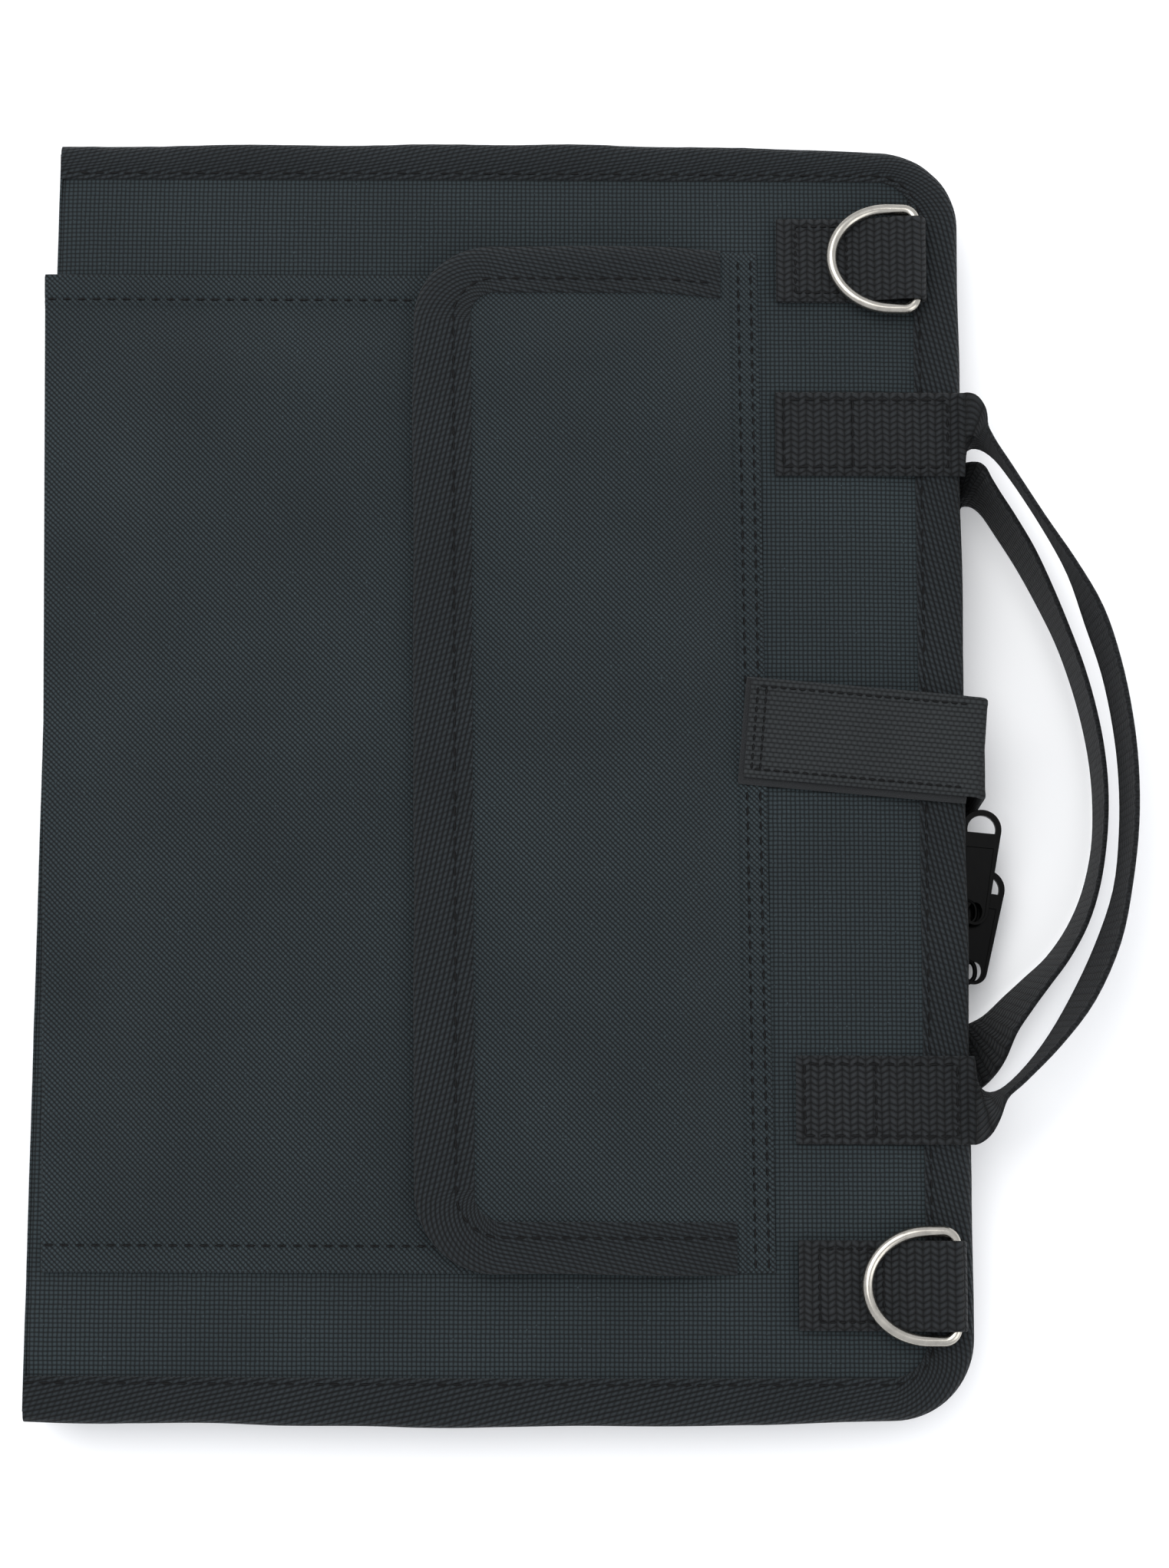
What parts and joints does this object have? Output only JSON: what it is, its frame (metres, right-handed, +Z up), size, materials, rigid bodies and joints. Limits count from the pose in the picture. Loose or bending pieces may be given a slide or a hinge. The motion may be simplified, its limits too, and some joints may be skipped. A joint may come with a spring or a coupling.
{
  "type": "drumstick bag",
  "caption": "Fold-over fabric case for drumsticks with a zip round the sides, an outer pocket with a flap, carrying handles, rings and a press-on closure strap.",
  "frame": {"origin": "point on the underside of the back cover, midway between the spine and the open edge and midway along the sticks", "axes": "+X from the spine to the handles, +Y along the sticks, +Z up from the back cover to the pocket"},
  "size_m": [0.392, 0.458, 0.0555],
  "materials": {
    "oxford_fabric": "coarse woven polyester, matte, coated behind",
    "lining_fabric": "plain woven lining, soft sheen",
    "binding_tape": "herringbone twill tape, matte",
    "webbing": "coarse woven strap, slight sheen",
    "hook_and_loop": "short pile",
    "zip_coil": "nylon coil, semi-matte",
    "black_metal": "glossy black enamel",
    "nickel": "bright nickel plate with fine scratches"
  },
  "bodies": {
    "back_case": {"back_cover": "oxford_fabric", "back_lining": "lining_fabric", "back_binding": "binding_tape", "back_zip_tape": "binding_tape", "back_zip_coil": "zip_coil", "back_stick_pocket": "lining_fabric", "rear_handle_tab_high": "webbing", "rear_handle_tab_low": "webbing", "closure_strap_leg": "webbing"},
    "spine": {"spine_panel": "oxford_fabric", "spine_lining": "lining_fabric"},
    "front_case": {"front_cover": "oxford_fabric", "front_lining": "lining_fabric", "front_binding": "binding_tape", "front_zip_tape": "binding_tape", "front_zip_coil": "zip_coil", "front_stick_pocket": "lining_fabric", "pocket_panel": "oxford_fabric", "pocket_flap_hem": "oxford_fabric", "pocket_loop_patch": "hook_and_loop", "closure_loop_patch": "hook_and_loop", "front_handle_tab_high": "webbing", "front_handle_tab_low": "webbing", "ring_tab_high": "webbing", "ring_tab_low": "webbing"},
    "flap": {"pocket_flap": "oxford_fabric", "pocket_flap_binding": "binding_tape", "pocket_hook_patch": "hook_and_loop"},
    "strap_end": {"closure_strap": "webbing", "closure_hook_patch": "hook_and_loop"},
    "front_handle": {"front_handle": "webbing"},
    "rear_handle": {"rear_handle": "webbing"},
    "ring_high": {"d_ring_high": "nickel"},
    "ring_low": {"d_ring_low": "nickel"},
    "slider_upper": {"upper_zip_slider": "black_metal"},
    "slider_lower": {"lower_zip_slider": "black_metal"},
    "pull_upper": {"upper_zip_pull": "black_metal"},
    "pull_lower": {"lower_zip_pull": "black_metal"}
  },
  "joints": [
    {"name": "spine_fold", "type": "hinge", "parent": "back_case", "child": "spine", "pos_m": [-0.165, 0, 0.00615], "axis": [0, -1, 0], "range_deg": [0, 90], "deforming": ["closure_strap", "closure_hook_patch", "closure_strap_leg"]},
    {"name": "cover_fold", "type": "hinge", "parent": "spine", "child": "front_case", "pos_m": [-0.165, 0, 0.02785], "axis": [0, -1, 0], "range_deg": [0, 90]},
    {"name": "flap_lift", "type": "hinge", "parent": "front_case", "child": "flap", "pos_m": [0.0843, 0, 0.0352], "axis": [-0.0131, 0.9999, 0], "range_deg": [0, 95]},
    {"name": "strap_lift", "type": "hinge", "parent": "back_case", "child": "strap_end", "pos_m": [0.1709, 0.006, 0.038], "axis": [0.0854, 0.9963, 0], "range_deg": [0, 150]},
    {"name": "front_handle_swing", "type": "hinge", "parent": "front_case", "child": "front_handle", "pos_m": [0.1679, 0, 0.0352], "axis": [0, -1, 0], "range_deg": [0, 85]},
    {"name": "rear_handle_swing", "type": "hinge", "parent": "back_case", "child": "rear_handle", "pos_m": [0.1679, 0, 0.001], "axis": [0, 1, 0], "range_deg": [0, 110]},
    {"name": "ring_high_swing", "type": "hinge", "parent": "front_case", "child": "ring_high", "pos_m": [0.14895, 0.1862, 0.03825], "axis": [0, 1, 0], "range_deg": [0, 170]},
    {"name": "ring_low_swing", "type": "hinge", "parent": "front_case", "child": "ring_low", "pos_m": [0.15825, -0.1829, 0.03825], "axis": [0, 1, 0], "range_deg": [0, 170]},
    {"name": "upper_slider_travel", "type": "slide", "parent": "back_case", "child": "slider_upper", "axis": [0, 1, 0], "range_m": [0, 0.235]},
    {"name": "lower_slider_travel", "type": "slide", "parent": "back_case", "child": "slider_lower", "axis": [0, -1, 0], "range_m": [0, 0.115]},
    {"name": "upper_pull_swing", "type": "hinge", "parent": "slider_upper", "child": "pull_upper", "pos_m": [0.1694, -0.051, 0.0193], "axis": [0, 0, -1], "range_deg": [0, 50]},
    {"name": "lower_pull_swing", "type": "hinge", "parent": "slider_lower", "child": "pull_lower", "pos_m": [0.1694, -0.072, 0.0142], "axis": [0, 0, -1], "range_deg": [0, 30]}
  ],
  "couplings": [
    {"joint": "cover_fold", "follows": "spine_fold", "ratio": 1}
  ]
}
